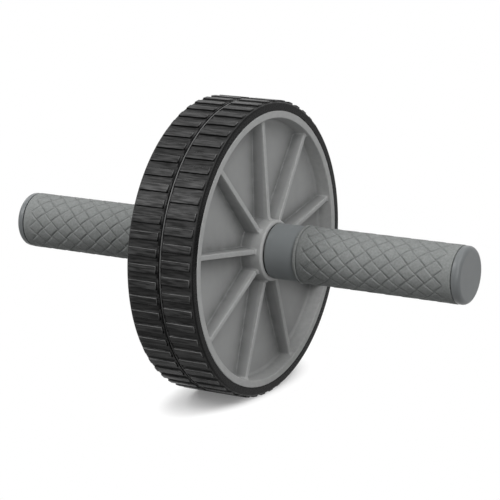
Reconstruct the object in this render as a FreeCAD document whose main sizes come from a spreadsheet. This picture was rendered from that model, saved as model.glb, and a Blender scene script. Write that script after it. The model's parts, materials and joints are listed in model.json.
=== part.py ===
# Ab wheel roller: two ribbed plastic wheels with rubber tyres turn freely, side by side,
# on one steel axle, and a handle with a rubber grip is screwed to each end of that axle.
# Frame: +X along the axle, +Z up, origin on the floor under the middle. Millimetres.
import FreeCAD
import Part
import Sketcher
import os

AXLE_DIRECTION = FreeCAD.Vector(1, 0, 0)
UPRIGHT = FreeCAD.Vector(0, 0, 1)
HALF_TURN = 180.0
FULL_TURN = 360.0

# Driving dimensions in millimetres, turns in degrees.
DIMENSIONS = {
    # axle and the fits that pieces have on it
    "axle_radius": 6.0,
    "axle_chamfer": 0.6,
    "running_fit": 0.06,
    "seat_fit": 0.05,
    "end_float": 0.2,
    "spacer_thickness": 1.0,
    "thrust_thickness": 0.8,
    # flanged hub bushes
    "bush_wall": 2.4,
    "bush_length": 11.0,
    "flange_thickness": 1.5,
    "flange_width": 3.0,
    # wheel
    "wheel_gap": 0.8,
    "rim_width": 22.4,
    "rim_radius": 86.0,
    "rim_lip_wall": 4.5,
    "rim_draft": 1.0,
    "rim_edge_round": 0.7,
    "rim_root_round": 5.0,
    "tongue_width": 8.0,
    "tongue_height": 1.5,
    "web_recess": 9.9,
    "web_thickness": 3.0,
    "hub_stand": 4.4,
    "hub_lip": 1.95,
    "hub_ring_wall": 2.8,
    "hub_edge_round": 1.6,
    "hub_bore_round": 0.5,
    "hub_root_round": 3.0,
    "sleeve_wall": 1.5,
    "rib_count": 9,
    "rib_thickness": 3.4,
    "rib_back_drop": 0.8,
    "rib_rim_drop": 2.5,
    "rib_hub_drop": 4.2,
    "rib_edge": 0.5,
    "right_rib_turn": 3.0,
    "left_rib_turn": 17.0,
    # tyre
    "tyre_wall": 5.25,
    "shoulder_round": 1.2,
    "shoulder_width": 1.5,
    "bar_count": 59,
    "bar_share": 0.48,
    "bar_height": 1.2,
    "bar_root": 0.6,
    "right_tread_turn": 0.3,
    "left_tread_turn": 2.9,
    # handle core
    "collar_length": 19.8,
    "collar_step": 3.15,
    "collar_edge_round": 0.4,
    "inner_tube_wall": 2.7,
    "core_pocket_height": 2.6,
    "core_pocket_width": 5.0,
    "core_pocket_depth": 100.0,
    "core_pocket_count": 6,
    "outer_tube_wall": 2.65,
    "end_wall": 4.0,
    "end_pocket_depth": 9.5,
    # grip
    "grip_wall": 3.65,
    "grip_length": 104.3,
    "grip_ring_width": 1.8,
    "grip_ring_stand": 0.5,
    "grip_groove_width": 0.8,
    "grip_groove_depth": 0.7,
    "grip_edge_round": 0.6,
    # end cap
    "cap_gap": 0.8,
    "cap_length": 4.9,
    "cap_inset": 0.2,
    "cap_round": 3.0,
    "cap_wall": 2.4,
    "plug_length": 4.6,
    "plug_wall": 1.6,
    "bead_inset": 1.6,
    "bead_width": 1.2,
    "bead_height": 0.4,
    # handle screw and its washer
    "screw_radius": 3.0,
    "screw_reach": 14.0,
    "screw_clearance": 0.3,
    "tap_spare": 3.0,
    "head_width": 3.0,
    "head_height": 4.0,
    "head_round": 1.2,
    "socket_radius": 2.3,
    "socket_depth": 2.2,
    "washer_thickness": 1.2,
    "washer_lip": 3.0,
    "washer_room": 1.5,
}

# Places along the axle (from the middle plane) and radii that follow from the driving dimensions.
DERIVED = {
    # radii, from the axle outwards
    "bush_bore": "dims.axle_radius + dims.running_fit",
    "bush_radius": "stations.bush_bore + dims.bush_wall",
    "hub_bore": "stations.bush_radius + dims.seat_fit",
    "flange_radius": "stations.bush_radius + dims.flange_width",
    "flange_seat": "stations.flange_radius + dims.seat_fit",
    "sleeve_radius": "stations.flange_seat + dims.sleeve_wall",
    "core_bore": "dims.axle_radius + dims.seat_fit",
    "core_pocket_low": "stations.core_bore + dims.inner_tube_wall",
    "core_pocket_high": "stations.core_pocket_low + dims.core_pocket_height",
    "core_radius": "stations.core_pocket_high + dims.outer_tube_wall",
    "collar_radius": "stations.core_radius + dims.collar_step",
    "hub_radius": "stations.collar_radius + dims.hub_lip",
    "hub_ring_bore": "stations.hub_radius - dims.hub_ring_wall",
    "grip_bore": "stations.core_radius + dims.seat_fit",
    "grip_radius": "stations.grip_bore + dims.grip_wall",
    "grip_ring_radius": "stations.grip_radius + dims.grip_ring_stand",
    "grip_groove_radius": "stations.grip_radius - dims.grip_groove_depth",
    "cap_radius": "stations.grip_radius - dims.cap_inset",
    "rim_lip_bore": "dims.rim_radius - dims.rim_lip_wall",
    "rim_root_bore": "stations.rim_lip_bore - dims.rim_draft",
    "tongue_radius": "dims.rim_radius + dims.tongue_height",
    "tyre_bore": "dims.rim_radius + dims.seat_fit",
    "tyre_groove_radius": "stations.tongue_radius + dims.seat_fit",
    "tread_floor": "stations.tyre_bore + dims.tyre_wall",
    "bar_foot": "stations.tread_floor - dims.bar_root",
    "tyre_radius": "stations.tread_floor + dims.bar_height",
    "tap_radius": "dims.screw_radius + dims.seat_fit",
    "screw_hole": "dims.screw_radius + dims.screw_clearance",
    "head_radius": "dims.screw_radius + dims.head_width",
    "washer_radius": "stations.head_radius + dims.washer_lip",
    "end_pocket_radius": "stations.washer_radius + dims.washer_room",
    "plug_radius": "stations.end_pocket_radius - dims.seat_fit",
    "plug_bore": "stations.plug_radius - dims.plug_wall",
    "bead_radius": "stations.plug_radius + dims.bead_height",
    "bead_groove_radius": "stations.end_pocket_radius + dims.bead_height",
    # places along the axle, from the middle plane outwards
    "inner_flange_face": "dims.spacer_thickness / 2 + dims.end_float",
    "inner_flange_back": "stations.inner_flange_face + dims.flange_thickness",
    "inner_bush_end": "stations.inner_flange_face + dims.bush_length",
    "rim_back": "dims.wheel_gap / 2",
    "rim_face": "stations.rim_back + dims.rim_width",
    "rim_middle": "stations.rim_back + dims.rim_width / 2",
    "tongue_back": "stations.rim_middle - dims.tongue_width / 2",
    "tongue_front": "stations.rim_middle + dims.tongue_width / 2",
    "tyre_groove_back": "stations.tongue_back - dims.seat_fit",
    "tyre_groove_front": "stations.tongue_front + dims.seat_fit",
    "bar_back": "stations.rim_back + dims.shoulder_width",
    "bar_front": "stations.rim_face - dims.shoulder_width",
    "web_front": "stations.rim_face - dims.web_recess",
    "web_back": "stations.web_front - dims.web_thickness",
    "rib_back": "stations.rim_back + dims.rib_back_drop",
    "rib_rim_front": "stations.rim_face - dims.rib_rim_drop",
    "rib_hub_front": "stations.hub_face - dims.rib_hub_drop",
    "hub_face": "stations.rim_face + dims.hub_stand",
    "outer_flange_back": "stations.hub_face - dims.flange_thickness",
    "outer_bush_end": "stations.hub_face - dims.bush_length",
    "thrust_back": "stations.hub_face + dims.end_float",
    "collar_face": "stations.thrust_back + dims.thrust_thickness",
    "grip_start": "stations.collar_face + dims.collar_length",
    "grip_ring_end": "stations.grip_start + dims.grip_ring_width",
    "grip_groove_end": "stations.grip_ring_end + dims.grip_groove_width",
    "grip_end": "stations.grip_start + dims.grip_length",
    "core_end": "stations.grip_end + dims.cap_gap",
    "cap_end": "stations.core_end + dims.cap_length",
    "cap_floor": "stations.cap_end - dims.cap_wall",
    "plug_end": "stations.core_end - dims.plug_length",
    "bead_front": "stations.core_end - dims.bead_inset",
    "bead_back": "stations.bead_front - dims.bead_width",
    "bead_groove_front": "stations.bead_front + dims.seat_fit",
    "bead_groove_back": "stations.bead_back - dims.seat_fit",
    "screw_seat": "stations.core_end - dims.end_pocket_depth",
    "axle_end": "stations.screw_seat - dims.end_wall",
    "head_seat": "stations.screw_seat + dims.washer_thickness",
    "head_top": "stations.head_seat + dims.head_height",
    "socket_floor": "stations.head_top - dims.socket_depth",
    "screw_tip": "stations.axle_end - dims.screw_reach",
    # lengths along the axle, counted from one of its ends
    "axle_length": "2 * stations.axle_end",
    "axle_shoulder": "stations.axle_length - dims.axle_chamfer",
    "axle_end_radius": "dims.axle_radius - dims.axle_chamfer",
    "tap_depth": "dims.screw_reach + dims.tap_spare",
    "far_tap_floor": "stations.axle_length - stations.tap_depth",
    # rib section, counted across the rib from one of its sides
    "rib_near_bevel": "dims.rib_edge",
    "rib_far_bevel": "dims.rib_thickness - dims.rib_edge",
    "rib_back_bevel": "stations.rib_back + dims.rib_edge",
    "rib_rim_bevel": "stations.rib_rim_front - dims.rib_edge",
    "rib_hub_bevel": "stations.rib_hub_front - dims.rib_edge",
    "rib_hub_end": "stations.hub_radius - dims.hub_ring_wall / 2",
    "rib_rim_end": "dims.rim_radius - dims.rim_lip_wall / 2",
}


def make_sheet(doc):
    """Spreadsheet of the driving dimensions, one aliased cell each."""
    sheet = doc.addObject("Spreadsheet::Sheet", "dims")
    for row, (name, value) in enumerate(DIMENSIONS.items(), start=1):
        sheet.set(f"A{row}", name)
        sheet.set(f"B{row}", str(value))
        sheet.setAlias(f"B{row}", name)
    doc.recompute()
    return sheet


def make_stations(doc):
    """Variable set of the places and radii that follow from the sheet."""
    stations = doc.addObject("App::VarSet", "stations")
    for name in DERIVED:
        stations.addProperty("App::PropertyFloat", name)
    for name, formula in DERIVED.items():
        stations.setExpression(name, formula)
    doc.recompute()
    return stations


doc = FreeCAD.newDocument("ab_wheel_roller")
sheet = make_sheet(doc)
stations = make_stations(doc)


def value(name):
    """Present number of a driving or derived dimension."""
    if name in DIMENSIONS:
        return float(sheet.get(name))
    return getattr(stations, name)


def link(name):
    """Expression text that reads a driving or derived dimension."""
    owner = "dims" if name in DIMENSIONS else "stations"
    return f"{owner}.{name}"


def origin_feature(body, role):
    """Plane or axis of a body's own origin."""
    for feature in body.Origin.OriginFeatures:
        if feature.Role == role:
            return feature
    raise ValueError(f"{body.Label} has no {role}")


def new_body(label):
    body = doc.addObject("PartDesign::Body", label)
    body.Label = label
    return body


def new_sketch(body, name, plane="XZ_Plane", lift=None, shift_back=None):
    """Sketch on an origin plane, lifted off it and shifted back along its own Y by half a size."""
    sketch = body.newObject("Sketcher::SketchObject", f"{body.Label}_{name}")
    sketch.AttachmentSupport = [(origin_feature(body, plane), "")]
    sketch.MapMode = "FlatFace"
    if lift:
        sketch.setExpression("AttachmentOffset.Base.z", link(lift))
    if shift_back:
        sketch.setExpression("AttachmentOffset.Base.y", f"-{link(shift_back)} / 2")
    return sketch


def pin_point(sketch, line, along, up):
    """Hold a line's first point at two named distances; None keeps it on that axis."""
    for kind, name, axis in (("DistanceX", along, -2), ("DistanceY", up, -1)):
        if name is None:
            sketch.addConstraint(Sketcher.Constraint("PointOnObject", line, 1, axis))
            continue
        number = sketch.addConstraint(Sketcher.Constraint(kind, -1, 1, line, 1, value(name)))
        sketch.setExpression(f"Constraints[{number}]", link(name))


def draw_outline(sketch, corners):
    """Closed outline of straight lines through named corners."""
    places = [FreeCAD.Vector(value(x) if x else 0.0, value(y) if y else 0.0, 0.0) for x, y in corners]
    count = len(places)
    for index, start in enumerate(places):
        sketch.addGeometry(Part.LineSegment(start, places[(index + 1) % count]))
    for index in range(count):
        sketch.addConstraint(Sketcher.Constraint("Coincident", index, 2, (index + 1) % count, 1))
    for index, (x, y) in enumerate(corners):
        pin_point(sketch, index, x, y)


def turn_about_axle(body, sketch, name):
    """Full revolution of an outline about the axle line."""
    turned = body.newObject("PartDesign::Revolution", f"{body.Label}_{name}")
    turned.Profile = sketch
    turned.ReferenceAxis = (sketch, ["H_Axis"])
    turned.Angle = FULL_TURN
    doc.recompute()
    return turned


def turned_body(label, corners):
    """Body turned about the axle line from an outline of (along, radius) corners."""
    body = new_body(label)
    sketch = new_sketch(body, "outline")
    draw_outline(sketch, corners)
    turn_about_axle(body, sketch, "turned")
    return body


def repeat_about_axle(body, feature, count):
    """Equal copies of a feature all the way round the axle line."""
    pattern = body.newObject("PartDesign::PolarPattern", f"{feature.Name}_pattern")
    pattern.Originals = [feature]
    pattern.Axis = (origin_feature(body, "X_Axis"), [""])
    pattern.Angle = FULL_TURN
    pattern.setExpression("Occurrences", link(count))
    body.Tip = pattern
    doc.recompute()
    return pattern


def circle_edge(shape, along, radius):
    """Name of the edge that is a circle about the axle line at a place and radius."""
    for number, edge in enumerate(shape.Edges, start=1):
        curve = edge.Curve
        if not isinstance(curve, Part.Circle):
            continue
        off_axis = abs(curve.Center.y) + abs(curve.Center.z)
        misses = abs(curve.Center.x - value(along)) + abs(curve.Radius - value(radius))
        if off_axis + misses < 1e-4:
            return f"Edge{number}"
    raise ValueError(f"no circle at {along}, {radius}")


def round_edges(body, size, places):
    """Fillet on circles about the axle line, given as (along, radius) names."""
    base = body.Tip
    fillet = body.newObject("PartDesign::Fillet", f"{body.Label}_{size}")
    fillet.Base = (base, [circle_edge(base.Shape, along, radius) for along, radius in places])
    fillet.setExpression("Radius", link(size))
    doc.recompute()
    return fillet


def place(body, side, turn=None):
    """Stand a body at axle height, facing its side, turned about the axle."""
    facing = FreeCAD.Rotation(UPRIGHT, 0.0 if side == "right" else HALF_TURN)
    spin = FreeCAD.Rotation(AXLE_DIRECTION, value(turn) if turn else 0.0)
    body.Placement = FreeCAD.Placement(FreeCAD.Vector(), spin.multiply(facing))
    body.setExpression("Placement.Base.z", link("tyre_radius"))


def make_axle():
    """Steel rod with a tapped hole in each end."""
    body = turned_body("axle", [
        (None, "tap_radius"), (None, "axle_end_radius"),
        ("axle_chamfer", "axle_radius"), ("axle_shoulder", "axle_radius"),
        ("axle_length", "axle_end_radius"), ("axle_length", "tap_radius"),
        ("far_tap_floor", "tap_radius"), ("far_tap_floor", None),
        ("tap_depth", None), ("tap_depth", "tap_radius"),
    ])
    place(body, "right")
    body.setExpression("Placement.Base.x", f"-{link('axle_end')}")
    return body


def make_wheel_spacer():
    """Washer that keeps the two wheels apart on the axle."""
    body = turned_body("wheel_spacer", [
        (None, "core_bore"), (None, "flange_radius"),
        ("spacer_thickness", "flange_radius"), ("spacer_thickness", "core_bore"),
    ])
    place(body, "right")
    body.setExpression("Placement.Base.x", f"-{link('spacer_thickness')} / 2")
    return body


def make_wheel(side):
    """Moulded wheel: hub, web, ribs on both faces, and a rim with a tongue for the tyre."""
    body = turned_body(f"wheel_{side}", [
        ("rim_back", "flange_seat"), ("inner_flange_back", "flange_seat"),
        ("inner_flange_back", "hub_bore"), ("outer_flange_back", "hub_bore"),
        ("outer_flange_back", "flange_seat"), ("hub_face", "flange_seat"),
        ("hub_face", "sleeve_radius"), ("web_front", "sleeve_radius"),
        ("web_front", "hub_ring_bore"), ("hub_face", "hub_ring_bore"),
        ("hub_face", "hub_radius"), ("web_front", "hub_radius"),
        ("web_front", "rim_root_bore"), ("rim_face", "rim_lip_bore"),
        ("rim_face", "rim_radius"), ("tongue_front", "rim_radius"),
        ("tongue_front", "tongue_radius"), ("tongue_back", "tongue_radius"),
        ("tongue_back", "rim_radius"), ("rim_back", "rim_radius"),
        ("rim_back", "rim_lip_bore"), ("web_back", "rim_root_bore"),
        ("web_back", "hub_radius"), ("rim_back", "hub_radius"),
        ("rim_back", "hub_ring_bore"), ("web_back", "hub_ring_bore"),
        ("web_back", "sleeve_radius"), ("rim_back", "sleeve_radius"),
    ])
    round_edges(body, "rim_edge_round", [("rim_face", "rim_lip_bore"), ("rim_back", "rim_lip_bore")])
    round_edges(body, "hub_edge_round", [("hub_face", "hub_radius")])
    round_edges(body, "hub_bore_round", [("hub_face", "hub_ring_bore")])
    round_edges(body, "rim_root_round", [("web_front", "rim_root_bore"), ("web_back", "rim_root_bore")])
    round_edges(body, "hub_root_round", [("web_front", "hub_radius"), ("web_back", "hub_radius")])
    rib = add_rib(body)
    repeat_about_axle(body, rib, "rib_count")
    place(body, side, f"{side}_rib_turn")
    return body


def add_rib(body):
    """One rib from hub ring to rim, standing out on both faces of the web."""
    sections = []
    for name, lift, front, bevel in (
        ("rib_hub_section", "rib_hub_end", "rib_hub_front", "rib_hub_bevel"),
        ("rib_rim_section", "rib_rim_end", "rib_rim_front", "rib_rim_bevel"),
    ):
        sketch = new_sketch(body, name, "XY_Plane", lift, "rib_thickness")
        draw_outline(sketch, [
            ("rib_back_bevel", None), (bevel, None),
            (front, "rib_near_bevel"), (front, "rib_far_bevel"),
            (bevel, "rib_thickness"), ("rib_back_bevel", "rib_thickness"),
            ("rib_back", "rib_far_bevel"), ("rib_back", "rib_near_bevel"),
        ])
        sections.append(sketch)
    rib = body.newObject("PartDesign::AdditiveLoft", f"{body.Label}_rib")
    rib.Profile = sections[0]
    rib.Sections = sections[1:]
    rib.Ruled = True
    doc.recompute()
    return rib


def make_tyre(side):
    """Rubber ring, grooved inside for the rim's tongue, with a row of tread bars."""
    body = turned_body(f"tyre_{side}", [
        ("rim_back", "tyre_bore"), ("rim_back", "tread_floor"),
        ("rim_face", "tread_floor"), ("rim_face", "tyre_bore"),
        ("tyre_groove_front", "tyre_bore"), ("tyre_groove_front", "tyre_groove_radius"),
        ("tyre_groove_back", "tyre_groove_radius"), ("tyre_groove_back", "tyre_bore"),
    ])
    round_edges(body, "shoulder_round", [("rim_back", "tread_floor"), ("rim_face", "tread_floor")])
    sketch = new_sketch(body, "bar_outline")
    draw_outline(sketch, [
        ("bar_back", "bar_foot"), ("bar_back", "tyre_radius"),
        ("bar_front", "tyre_radius"), ("bar_front", "bar_foot"),
    ])
    bar = turn_about_axle(body, sketch, "bar")
    bar.Midplane = True
    bar.setExpression("Angle", f"{FULL_TURN} / {link('bar_count')} * {link('bar_share')}")
    doc.recompute()
    repeat_about_axle(body, bar, "bar_count")
    place(body, side, f"{side}_tread_turn")
    return body


def make_bushes(side):
    """Flanged nylon bushes pressed into the two ends of a wheel's hub."""
    inner = turned_body(f"bush_{side}_inner", [
        ("inner_flange_face", "bush_bore"), ("inner_flange_face", "flange_radius"),
        ("inner_flange_back", "flange_radius"), ("inner_flange_back", "bush_radius"),
        ("inner_bush_end", "bush_radius"), ("inner_bush_end", "bush_bore"),
    ])
    outer = turned_body(f"bush_{side}_outer", [
        ("outer_bush_end", "bush_bore"), ("outer_bush_end", "bush_radius"),
        ("outer_flange_back", "bush_radius"), ("outer_flange_back", "flange_radius"),
        ("hub_face", "flange_radius"), ("hub_face", "bush_bore"),
    ])
    for bush in (inner, outer):
        place(bush, side)
    return [inner, outer]


def make_thrust_washer(side):
    """Washer between a wheel's outer bush and the handle's collar."""
    body = turned_body(f"thrust_washer_{side}", [
        ("thrust_back", "core_bore"), ("thrust_back", "flange_radius"),
        ("collar_face", "flange_radius"), ("collar_face", "core_bore"),
    ])
    place(body, side)
    return body


def make_handle_core(side):
    """Moulded tube over the axle: bare collar, seat for the grip, and a pocket for screw and cap."""
    body = turned_body(f"handle_core_{side}", [
        ("collar_face", "core_bore"), ("collar_face", "collar_radius"),
        ("grip_start", "collar_radius"), ("grip_start", "core_radius"),
        ("core_end", "core_radius"), ("core_end", "end_pocket_radius"),
        ("bead_groove_front", "end_pocket_radius"), ("bead_groove_front", "bead_groove_radius"),
        ("bead_groove_back", "bead_groove_radius"), ("bead_groove_back", "end_pocket_radius"),
        ("screw_seat", "end_pocket_radius"), ("screw_seat", "screw_hole"),
        ("axle_end", "screw_hole"), ("axle_end", "core_bore"),
    ])
    round_edges(body, "collar_edge_round", [("collar_face", "collar_radius")])
    full = body.Shape.Volume
    sketch = new_sketch(body, "pocket_outline", "XY_Plane", "core_pocket_low", "core_pocket_width")
    sketch.setExpression("AttachmentOffset.Base.x", link("collar_face"))
    draw_outline(sketch, [
        (None, None), ("core_pocket_depth", None),
        ("core_pocket_depth", "core_pocket_width"), (None, "core_pocket_width"),
    ])
    pocket = body.newObject("PartDesign::Pocket", f"{body.Label}_pocket")
    pocket.Profile = sketch
    pocket.Reversed = True
    pocket.setExpression("Length", link("core_pocket_height"))
    doc.recompute()
    if body.Shape.Volume >= full:
        raise ValueError(f"{body.Label}: the lightening pocket cuts nothing")
    repeat_about_axle(body, pocket, "core_pocket_count")
    place(body, side)
    return body


def make_grip(side):
    """Rubber sleeve with a proud ring at its inner end."""
    body = turned_body(f"grip_{side}", [
        ("grip_start", "grip_bore"), ("grip_start", "grip_ring_radius"),
        ("grip_ring_end", "grip_ring_radius"), ("grip_ring_end", "grip_groove_radius"),
        ("grip_groove_end", "grip_groove_radius"), ("grip_groove_end", "grip_radius"),
        ("grip_end", "grip_radius"), ("grip_end", "grip_bore"),
    ])
    round_edges(body, "grip_edge_round", [("grip_start", "grip_ring_radius"), ("grip_end", "grip_radius")])
    place(body, side)
    return body


def make_end_cap(side):
    """Round-edged cap whose hollow plug snaps into the handle core by a bead."""
    body = turned_body(f"end_cap_{side}", [
        ("cap_end", None), ("cap_end", "cap_radius"),
        ("core_end", "cap_radius"), ("core_end", "plug_radius"),
        ("bead_front", "plug_radius"), ("bead_front", "bead_radius"),
        ("bead_back", "bead_radius"), ("bead_back", "plug_radius"),
        ("plug_end", "plug_radius"), ("plug_end", "plug_bore"),
        ("cap_floor", "plug_bore"), ("cap_floor", None),
    ])
    round_edges(body, "cap_round", [("cap_end", "cap_radius")])
    place(body, side)
    return body


def make_handle_screw(side):
    """Round-headed screw with a hex socket that clamps the handle core to the axle's end."""
    body = turned_body(f"handle_screw_{side}", [
        ("screw_tip", None), ("screw_tip", "screw_radius"),
        ("head_seat", "screw_radius"), ("head_seat", "head_radius"),
        ("head_top", "head_radius"), ("head_top", None),
    ])
    round_edges(body, "head_round", [("head_top", "head_radius")])
    socket = body.newObject("PartDesign::SubtractivePrism", f"{body.Label}_socket")
    socket.AttachmentSupport = [(origin_feature(body, "YZ_Plane"), "")]
    socket.MapMode = "FlatFace"
    socket.Polygon = 6
    socket.setExpression("AttachmentOffset.Base.z", link("socket_floor"))
    socket.setExpression("Circumradius", link("socket_radius"))
    socket.setExpression("Height", link("socket_depth"))
    doc.recompute()
    place(body, side)
    return body


def make_screw_washer(side):
    """Steel washer under the screw's head."""
    body = turned_body(f"screw_washer_{side}", [
        ("screw_seat", "screw_hole"), ("screw_seat", "washer_radius"),
        ("head_seat", "washer_radius"), ("head_seat", "screw_hole"),
    ])
    place(body, side)
    return body


def make_side(side):
    """Every piece on one side of the middle plane."""
    pieces = [make_wheel(side), make_tyre(side)]
    pieces += make_bushes(side)
    pieces += [
        make_thrust_washer(side),
        make_handle_core(side),
        make_grip(side),
        make_end_cap(side),
        make_handle_screw(side),
        make_screw_washer(side),
    ]
    return pieces


def check(bodies):
    """Stop before writing if any object failed or any piece is not one sound solid."""
    for thing in doc.Objects:
        if "Invalid" in thing.State or "Error" in thing.State:
            raise RuntimeError(f"{thing.Label} failed: {thing.State}")
    for body in bodies:
        shape = body.Shape
        if shape.isNull() or not shape.isValid() or len(shape.Solids) != 1:
            raise RuntimeError(f"{body.Label} is not one sound solid")


def write(bodies):
    os.makedirs("parts", exist_ok=True)
    for body in bodies:
        body.Shape.exportStep(f"parts/{body.Label}.step")
        print(f"{body.Label}: {body.Shape.Volume / 1000:.2f} cm3")


bodies = [make_axle(), make_wheel_spacer()] + make_side("right") + make_side("left")
doc.recompute()
check(bodies)
write(bodies)
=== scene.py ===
# Looks of the ab wheel roller: two grey ribbed wheels in barred black tyres, turning on an axle
# between two handles with grey rubber grips. Metres, in the model's frame: +X along the axle, +Z up.
# Shapes are worked out in millimetres on the right side, then placed on either side.
import json
import math

import bpy
import numpy as np
from mathutils import Matrix, Vector


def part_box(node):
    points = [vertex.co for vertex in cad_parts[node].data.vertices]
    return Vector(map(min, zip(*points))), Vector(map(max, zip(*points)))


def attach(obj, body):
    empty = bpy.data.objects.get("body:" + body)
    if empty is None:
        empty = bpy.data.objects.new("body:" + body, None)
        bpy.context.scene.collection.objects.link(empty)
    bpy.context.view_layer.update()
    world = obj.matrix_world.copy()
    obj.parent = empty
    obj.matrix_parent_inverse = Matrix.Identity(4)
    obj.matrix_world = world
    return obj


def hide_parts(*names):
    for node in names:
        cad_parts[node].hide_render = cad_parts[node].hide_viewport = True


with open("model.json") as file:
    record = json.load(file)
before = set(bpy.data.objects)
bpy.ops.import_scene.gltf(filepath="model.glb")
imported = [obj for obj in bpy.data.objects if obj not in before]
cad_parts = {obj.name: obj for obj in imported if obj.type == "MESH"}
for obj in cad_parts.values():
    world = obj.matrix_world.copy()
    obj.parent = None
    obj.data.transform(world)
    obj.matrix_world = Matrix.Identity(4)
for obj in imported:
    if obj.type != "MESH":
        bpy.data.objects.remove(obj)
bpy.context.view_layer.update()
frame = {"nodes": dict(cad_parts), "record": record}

MM = 0.001
FULL_TURN = 2 * math.pi
SIDES = ("right", "left")


def axle_height():
    """Height of the axle line above the floor, in millimetres."""
    low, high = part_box("axle")
    return (low.z + high.z) / 2 / MM


AXLE_HEIGHT = axle_height()


def reach(node):
    """Nearest and farthest place along the axle and radius about it of a CAD node, in millimetres."""
    mesh = frame["nodes"][node].data
    corners = np.empty(len(mesh.vertices) * 3)
    mesh.vertices.foreach_get("co", corners)
    x, y, z = corners.reshape(-1, 3).T / MM
    radius = np.hypot(y, z - AXLE_HEIGHT)
    along = np.abs(x)
    return along.min(), along.max(), radius.min(), radius.max()


# Sizes read from the frame
WHEEL_BACK, HUB_FACE, HUB_BORE, TONGUE_RADIUS = reach("wheel_right")
_, RIM_FACE, TYRE_BORE, TYRE_RADIUS = reach("tyre_right")
FLANGE_BACK, _, _, FLANGE_RADIUS = reach("bush_right_inner")
_, _, _, COLLAR_RADIUS = reach("handle_core_right")
GRIP_START, GRIP_END, GRIP_BORE, GRIP_RING_RADIUS = reach("grip_right")

# Wheel sizes, as in the CAD model
SEAT_FIT = 0.05
FLANGE_THICKNESS = 1.5
SLEEVE_WALL = 1.5
WEB_RECESS = 9.9
WEB_THICKNESS = 3.0
HUB_LIP = 1.95
HUB_RING_WALL = 2.8
RIM_LIP_WALL = 4.5
RIM_DRAFT = 1.0
TONGUE_WIDTH = 8.0
RIM_RADIUS = TYRE_BORE - SEAT_FIT
HUB_RADIUS = COLLAR_RADIUS + HUB_LIP
HUB_RING_BORE = HUB_RADIUS - HUB_RING_WALL
FLANGE_SEAT = FLANGE_RADIUS + SEAT_FIT
WEB_FRONT = RIM_FACE - WEB_RECESS
WEB_BACK = WEB_FRONT - WEB_THICKNESS
RIM_LIP_BORE = RIM_RADIUS - RIM_LIP_WALL
RIM_ROOT_BORE = RIM_LIP_BORE - RIM_DRAFT

# Moulded rounds and drafts of the wheel
HUB_EDGE_ROUND = 1.6
HUB_BORE_ROUND = 0.5
HUB_ROOT_ROUND = 1.2
HUB_DRAFT = 0.35
RIM_EDGE_ROUND = 0.7
RIM_ROOT_ROUND = 2.0
RIM_CHAMFER = 0.3
WHEEL_CREASE = math.radians(32)

# Ribs of the wheel
RIB_COUNT = 9
RIB_HALF = 1.6
RIB_DRAFT = 0.2
RIB_EDGE_ROUND = 0.55
RIB_ROOT_ROUND = 0.9
RIB_END_ROUND = 1.2
RIB_HUB_DROP = 4.2
RIB_RIM_DROP = 2.5
RIB_BACK_DROP = 1.7
RIB_TURN = {"right": math.radians(3.0), "left": math.radians(17.0)}

# Painted shade in the corners of the wheel's pockets: reach from a wall, height over the web, and share at
# the rim
PAINTED_SHADE_REACH = 4.5
PAINTED_SHADE_HEIGHT = 5.0
PAINTED_SHADE_HEIGHT_AT_HUB = 13.0
PAINTED_SHADE_AT_RIM = 0.4

# Paler rib tops and rim of the wheel, partly rubbed wear and partly painted light: places along the axle
# where it starts and is full, and its fade at the rim
RUB_AND_LIGHT_START = 19.0
RUB_AND_LIGHT_FULL = 20.4
RIM_RUB_AND_LIGHT_FADE = 0.8

# Tyre tread
BAR_COUNT = 59
BAR_SHARE = 0.48
BAR_HEIGHT = 1.2
BAR_INSET = 1.5
STRIP_HEIGHT = 0.45
STRIP_WIDTH = 1.0
STRIP_BEND = 0.12
STRIP_BEND_DROP = 0.1
STRIP_FOOT = 0.25
SEAM_ROUND = 0.25
SHOULDER_ROUND = 1.3
BEAD_CHAMFER = 0.35
TREAD_TURN = {"right": math.radians(0.3), "left": math.radians(2.9)}
TREAD_FLOOR = TYRE_RADIUS - BAR_HEIGHT
TYRE_CREASE = math.radians(40)

# Walls of a bar, as distances past the bar's edge with the share of its height at each
BAR_SIDE_WALL = ((-0.42, 1.0), (-0.24, 0.985), (-0.08, 0.88), (0.02, 0.5), (0.14, 0.12), (0.30, 0.0))
BAR_END_WALL = ((-0.1, 0.0), (0.05, 0.2), (0.16, 0.8), (0.3, 0.96), (0.55, 1.0))

# Grip
GRIP_RING_WIDTH = 1.8
GRIP_RING_STAND = 0.5
GRIP_RING_BACK_ROUND = 0.35
GRIP_GROOVE_WIDTH = 0.8
GRIP_GROOVE_DEPTH = 0.7
GRIP_GROOVE_SLOPE = 0.1
GRIP_GROOVE_ROUND = 0.3
GRIP_EDGE_ROUND = 0.6
GRIP_END_SWELL = 0.1
GRIP_RADIUS = GRIP_RING_RADIUS - GRIP_RING_STAND
GRIP_CREASE = math.radians(50)

# Woven relief of the grip; its shift is a whole number of steps, so that grid points lie on the grooves
TILES_AROUND = 11
TILE_LENGTH = 11.5
TILE_STEPS = 28
TILE_SHIFT = 9 / TILE_STEPS
TILE_STRANDS = 7
TILE_GROOVE_DEPTH = 0.24
TILE_GROOVE_HALF = 0.8
TILE_GROOVE_POWER = 1.3
TILE_CROWN = 0.12
TILE_DIP = 0.38
TILE_DIP_SHARE = 0.16
TILE_SPACING = 1 / math.hypot(1 / TILE_LENGTH, TILES_AROUND / (FULL_TURN * GRIP_RADIUS))
RELIEF_START = 2.0
RELIEF_END = 4.0
RELIEF_FADE = 2.5

# Floor and sky, in metres; the floor shows its shadow inside an oval under the wheels
SKY_STRENGTH = 0.1
FLOOR_HALF_WIDTH = 6.0
FLOOR_BOUNCE = 0.15
FLOOR_LIFT = 0.16
SHADOW_MIDDLE = -0.004
SHADOW_HALF_WIDTH = 0.052
SHADOW_HALF_LENGTH = 0.14

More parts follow.
